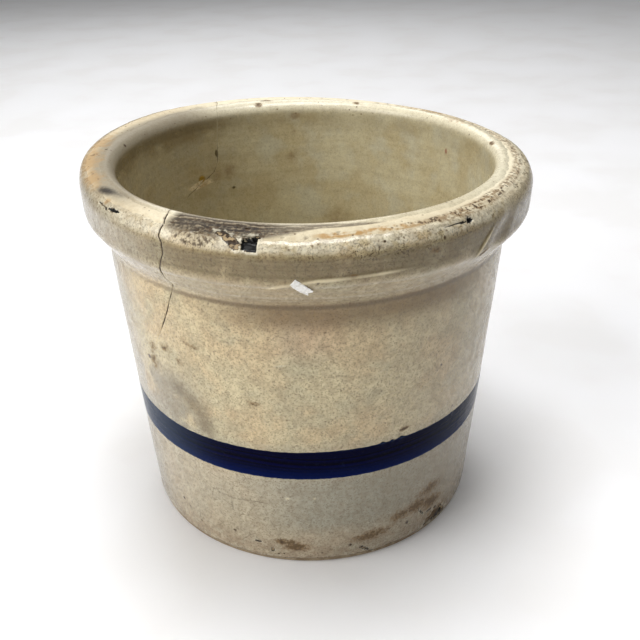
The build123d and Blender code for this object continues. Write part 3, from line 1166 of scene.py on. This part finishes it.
def outer_material():
    paint = Paint("fired_outer_glaze", coat=0.2, shine=0.45)
    drifts(paint, tint(221, 206, 165), tint(220, 197, 154), tint(200, 191, 156))
    paint_foot(paint)
    paint_wall(paint)
    paint_collar(paint)
    # painted highlight: the shoulder below the rim is painted paler in broken patches, and made a little
    # rougher
    painted_highlight = paint.level(RIM_TOP - 7 * MM, RIM_TOP - 1.5 * MM, 1.5 * MM)
    painted_highlight = paint.times(painted_highlight, paint.sector(-52, 52, 10), paint.patches(4, 3, 0.3, 0.55))
    paint.cover(painted_highlight, tint(244, 238, 216), 0.6)
    # the crackled, dirty patch beside the chips
    patch = paint.ragged(paint.blots(DIRTY_PATCH), paint.noise(2, 2), 0.5, 0.45, 0.95)
    web = paint.between(paint.cells(3.1, "DISTANCE_TO_EDGE").outputs["Distance"], 0.06, 0.02)
    web = paint.times(web, paint.patches(3, 2, 0.44, 0.56), 0.8)
    web = paint.maths("MAXIMUM", web, paint.patches(1.5, 4, 0.53, 0.62))
    paint.cover(patch, tint(176, 154, 114), 0.5)
    paint.cover(paint.times(patch, web), tint(50, 40, 26), 0.85)
    rim_weather_and_highlight(paint)
    spots(paint)
    grains(paint, 1.0)
    # damage, and the raised lines of glaze, painted cream where the glaze breaks over them and as a painted
    # highlight, with a painted highlight along the fold
    pit = paint.times(paint.attribute("pit"), paint.patches(1.5, 2, 0.4, 0.6))
    paint.cover(pit, tint(76, 60, 38), 0.8)
    paint.cover(paint.between(paint.attribute("flow_and_highlight"), 0.2, 0.9), tint(242, 226, 186), 0.8)
    broken_glaze(paint)
    crack = paint.attribute("crack")
    paint.cover(paint.ragged(crack, paint.noise(1.6, 2), 0.3, 0.36, 0.62), tint(52, 36, 24))
    hurt = paint.maths("MAXIMUM", paint.attribute("chip"), paint.between(crack, 0.1, 0.5))
    hurt = paint.maths("MAXIMUM", hurt, paint.maths("MAXIMUM", paint.times(patch, 0.9), paint.dirt))
    dull = paint.times(paint.patches(5, 3, 0.45, 0.65), 0.12)
    fine = paint.times(paint.noise(0.8, 2), 0.1)
    rough = paint.plus(0.19, dull, fine, paint.times(hurt, 0.5), paint.times(painted_highlight, 0.12))
    pinholes = paint.times(paint.specks(2.8, 0.25, 0.16), -1.0)
    return paint.finish(rough, [(paint.noise(8, 2), 0.25), (paint.noise(1.8, 2), 0.03), (pinholes, 0.03)])


def inner_material():
    paint = Paint("fired_liner_glaze", coat=0.1, shine=0.35)
    drifts(paint, tint(210, 201, 168), tint(198, 185, 148), tint(206, 202, 178))
    rings = paint.between(paint.streaks(paint.height, 9, 120), 0.42, 0.62)
    paint.cover(rings, tint(150, 134, 90), 0.08)
    # the lip is painted paler than the wall below it as a painted highlight, except at the left, which is
    # painted darker all the way down as painted shade
    left = paint.sector(-150, -40, 14)
    top = paint.rising(RIM_TOP - 7 * MM, RIM_TOP - 3 * MM)
    paint.cover(top, paint.mix(left, tint(214, 204, 172), tint(150, 142, 118)))
    # painted shade: a dark band in patches just under the lip, strongest at the left
    below = paint.times(paint.level(RIM_TOP - 14 * MM, RIM_TOP - 5 * MM, 4 * MM),
                        paint.patches(12, 2, 0.2, 0.6), paint.plus(0.25, paint.times(left, 0.3)))
    paint.cover(below, tint(116, 96, 60))
    # painted shade down the left of the inside
    paint.cover(left, tint(130, 108, 68), 0.35)
    # painted shade on the left of the lip
    lip = paint.times(left, paint.level(RIM_TOP - 9 * MM, RIM_TOP - 2.5 * MM, 1.5 * MM))
    paint.cover(lip, tint(112, 98, 68), 0.6)
    brown = paint.ragged(paint.blots(LINER_STAINS), paint.noise(2.2, 3), 0.5, 0.45, 0.98)
    paint.cover(brown, tint(122, 90, 50), 0.5)
    paint.cover(paint.between(paint.blots(YELLOW_SPOT), 0.3, 0.7), tint(150, 118, 16))
    paint.cover(paint.between(paint.blots(PINK_SPOT), 0.3, 0.7), tint(160, 112, 96))
    paint.cover(paint.between(paint.blots(OLIVE_DOTS), 0.35, 0.7), tint(74, 62, 30))
    rim_weather_and_highlight(paint)
    spots(paint)
    grains(paint, 0.4)
    # a painted highlight along the crack's edge high up
    crack = paint.attribute("crack")
    pale = paint.times(paint.between(crack, 0.02, 0.2), paint.rising(150 * MM, 156 * MM))
    paint.cover(pale, tint(222, 212, 180), 0.4)
    paint.cover(paint.between(crack, 0.16, 0.5), tint(72, 58, 34), 0.8)
    hurt = paint.times(paint.between(crack, 0.1, 0.5), 0.4)
    rough = paint.plus(0.2, paint.times(paint.noise(4, 3), 0.16), hurt, paint.times(paint.dirt, 0.45))
    return paint.finish(rough, [(paint.noise(9, 2), 0.3), (rings, 0.04), (paint.noise(1.8, 2), 0.05)])


def clay_material():
    paint = Paint("fired_clay")
    paint.colour = tint(222, 206, 172)
    paint.cover(paint.patches(3.5, 4, 0.38, 0.62), tint(196, 174, 134))
    paint.cover(paint.patches(0.8, 3, 0.5, 0.66), tint(140, 116, 82), 0.5)
    # the foot is browner, with dirt worked into it
    earth = paint.mix(paint.patches(6, 4, 0.36, 0.64), tint(166, 149, 122), tint(140, 121, 95))
    lines = paint.between(paint.streaks(paint.radius, 1.2, 160), 0.42, 0.66)
    earth = paint.mix(paint.times(lines, 0.22), earth, tint(96, 80, 60))
    paint.cover(paint.rising(14 * MM, 6 * MM), earth)
    rim_weather_and_highlight(paint)
    paint.cover(paint.attribute("pit"), tint(74, 54, 32), 0.7)
    broken_glaze(paint)
    paint.cover(paint.between(paint.attribute("crack"), 0.2, 0.6), tint(40, 28, 18))
    rough = paint.plus(0.55, paint.times(paint.noise(1.2, 3), 0.4))
    return paint.finish(rough, [(paint.noise(2.4, 3), 0.35), (paint.noise(0.5, 2), 0.12)])


def cobalt_material():
    paint = Paint("fired_cobalt", shine=0.03)
    paint.colour = tint(1, 3, 24)
    brush = paint.between(paint.streaks(paint.height, 1.6, 90), 0.34, 0.7)
    paint.cover(brush, tint(2, 10, 50))
    # bluer along its lower half, greyer at the sides as a painted sheen, and thin along its edges
    low, high = BAND_LOW.z, BAND_HIGH.z
    paint.cover(paint.rising(low + 9 * MM, low), tint(2, 28, 78), 0.7)
    # painted sheen: the band is painted greyer towards its left and right sides
    paint.cover(paint.sector(-120, -42, 18), tint(58, 76, 98), 0.5)
    paint.cover(paint.sector(44, 120, 16), tint(52, 66, 86), 0.3)
    paint.cover(paint.patches(2.2, 3, 0.6, 0.75), tint(36, 50, 84), 0.2)
    edge = paint.plus(paint.rising(low + 0.9 * MM, low), paint.rising(high - 0.9 * MM, high))
    paint.cover(paint.times(edge, 0.5, paint.noise(3, 2)), tint(70, 92, 128))
    rough = paint.plus(0.12, paint.times(paint.noise(3, 3), 0.14))
    return paint.finish(rough, [(paint.noise(8, 2), 0.25), (brush, 0.04), (paint.noise(1.4, 2), 0.04)])


def paper_material():
    paint = Paint("torn_paper", roughness=0.85)
    paint.colour = tint(255, 253, 248)
    paint.cover(paint.patches(0.9, 4, 0.4, 0.7), tint(236, 232, 224))
    paint.cover(paint.patches(3, 2, 0.55, 0.7), tint(190, 186, 184), 0.4)
    return paint.finish(None, [(paint.noise(0.35, 3), 0.06), (paint.noise(1.5, 2), 0.12)])


for build, material, node, slot in [
    (build_body, clay_material, "stoneware_body", "bare_stoneware"),
    (build_outer_glaze, outer_material, "outer_glaze", "outer_glaze"),
    (build_inner_glaze, inner_material, "inner_glaze", "inner_glaze"),
    (build_band, cobalt_material, "cobalt_band", "cobalt_glaze"),
    (build_scrap, paper_material, "paper_scrap", "white_paper"),
]:
    piece = build()
    piece.data.materials.append(material())
    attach(piece, "root")
    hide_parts(node)


# ---------------------------------------------------------------- floor, lights and camera
FLOOR_REACH = 4.0
FLOOR_GLOW = 0.1            # lifts the shadow, as a white cloth would


def floor_material():
    paint = Paint("pale_floor", roughness=0.9)
    paint.colour = tint(246, 246, 248)
    paint.cover(paint.patches(90, 3, 0.35, 0.65), tint(240, 239, 239))
    paint.shader.inputs["Emission Color"].default_value = (1.0, 1.0, 1.0, 1.0)
    paint.shader.inputs["Emission Strength"].default_value = FLOOR_GLOW
    return paint.finish(None, [(paint.noise(0.9, 2), 0.05)])


corners = [(-1, -1), (1, -1), (1, 1), (-1, 1)]
floor = new_object("floor", [(x * FLOOR_REACH, y * FLOOR_REACH, 0) for x, y in corners], [(0, 1, 2, 3)])
floor.data.materials.append(floor_material())

LIGHT_TARGET = Vector((0, 0, 0.1))


def area_light(name, place, size, power, colour=(1.0, 1.0, 1.0)):
    """A round soft light, aimed at the middle of the crock. Power is in watts."""
    light = bpy.data.lights.new(name, "AREA")
    light.shape = "DISK"
    light.size = size
    light.energy = power
    light.color = colour
    lamp = bpy.data.objects.new(name, light)
    lamp.location = place
    lamp.rotation_euler = (LIGHT_TARGET - Vector(place)).to_track_quat("-Z", "Y").to_euler()
    bpy.context.scene.collection.objects.link(lamp)


area_light("window", (-1.2, -0.7, 1.0), 1.4, 18.5, (1.0, 0.99, 0.97))
area_light("skylight", (0, 0.1, 1.5), 0.8, 16.5)
area_light("back_window", (-0.2, 1.3, 1.1), 1.0, 5.5)

world = bpy.data.worlds.new("studio")
world.use_nodes = True
world.node_tree.nodes["Background"].inputs["Color"].default_value = (0.96, 0.98, 1.0, 1.0)
world.node_tree.nodes["Background"].inputs["Strength"].default_value = 0.07
bpy.context.scene.world = world
bpy.context.scene.view_settings.view_transform = "Standard"

# The camera stands in front of the crock and looks down into it
CAMERA_ELEVATION = math.radians(28.49)
CAMERA_ROLL = math.radians(-1.29)
CAMERA_DISTANCE = 4.13 * (RIM_RADIUS + COAT)
CAMERA_TARGET = Vector((0, 0, 0.8 * (RIM_RADIUS + COAT)))
LENS_LENGTH = 47.36         # millimetres, for a 36 mm sensor
SENSOR_WIDTH = 36
SHIFT_RIGHT = 0.0179        # shares of the picture's width
SHIFT_UP = 0.0062

away = Vector((0, -math.cos(CAMERA_ELEVATION), math.sin(CAMERA_ELEVATION)))
right = Vector((1, 0, 0))
lens = bpy.data.cameras.new("camera")
lens.sensor_width = SENSOR_WIDTH
lens.lens = LENS_LENGTH
lens.shift_x = SHIFT_RIGHT
lens.shift_y = SHIFT_UP
camera = bpy.data.objects.new("camera", lens)
turn = Matrix((right, away.cross(right), away)).transposed() @ Matrix.Rotation(CAMERA_ROLL, 3, "Z")
camera.matrix_world = Matrix.Translation(CAMERA_TARGET + away * CAMERA_DISTANCE) @ turn.to_4x4()
bpy.context.scene.collection.objects.link(camera)
bpy.context.scene.camera = camera
